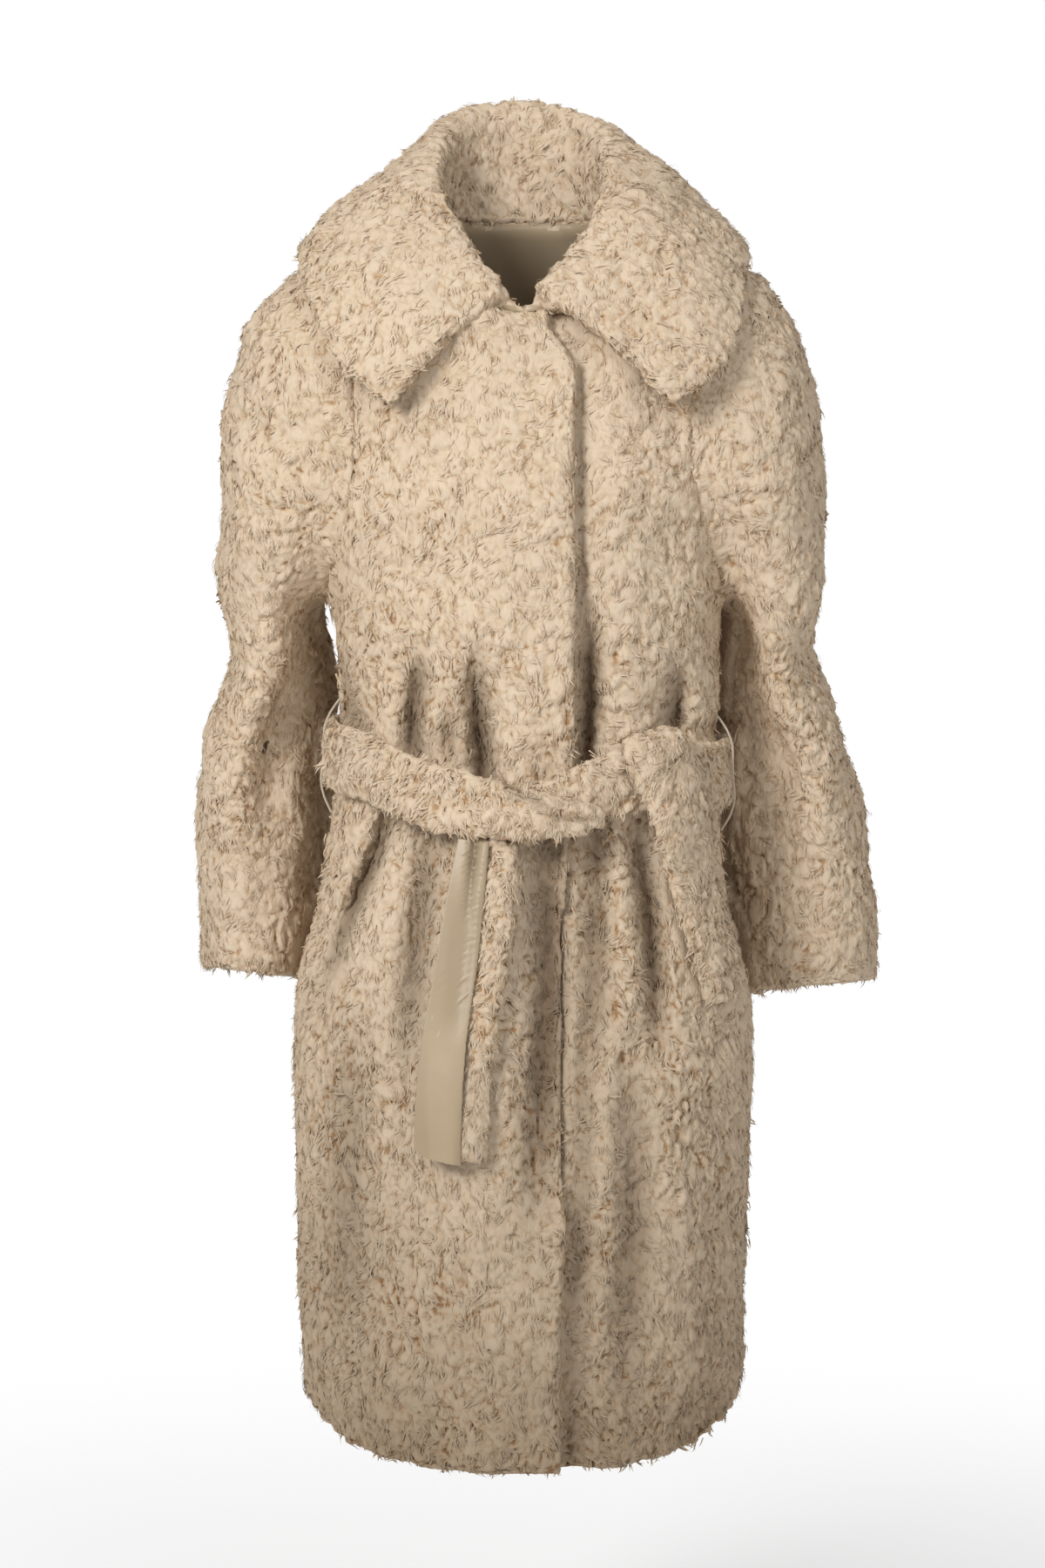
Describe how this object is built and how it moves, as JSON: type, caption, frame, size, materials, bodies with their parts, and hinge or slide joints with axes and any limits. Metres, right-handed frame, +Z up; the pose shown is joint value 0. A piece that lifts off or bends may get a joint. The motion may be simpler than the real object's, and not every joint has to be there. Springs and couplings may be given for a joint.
{
  "type": "coat",
  "caption": "Knee-length faux fur coat, hollow as worn, with a deep fold-over collar, a lapped front, wide dropped sleeves and a tied belt of the same fur.",
  "frame": {"origin": "the middle of the neck opening, level with the highest point of the shoulder seams, where the wearer's neck and shoulders hold the coat", "axes": "+Z up; the front faces -Y; +X towards the wearer's left"},
  "size_m": [0.6497, 0.3748, 1.2466],
  "materials": {
    "fur": "dense curly faux shearling pile",
    "satin": "smooth satin weave",
    "thread": "matt sewing thread"
  },
  "bodies": {
    "root": {"front_right": "fur", "front_left": "fur", "back": "fur", "sleeve_right": "fur", "sleeve_left": "fur", "collar": "fur", "belt": "fur", "belt_end_right": "fur", "belt_end_right_lining": "satin", "belt_end_left": "fur", "thread_loop_right": "thread", "thread_loop_left": "thread"}
  },
  "joints": []
}
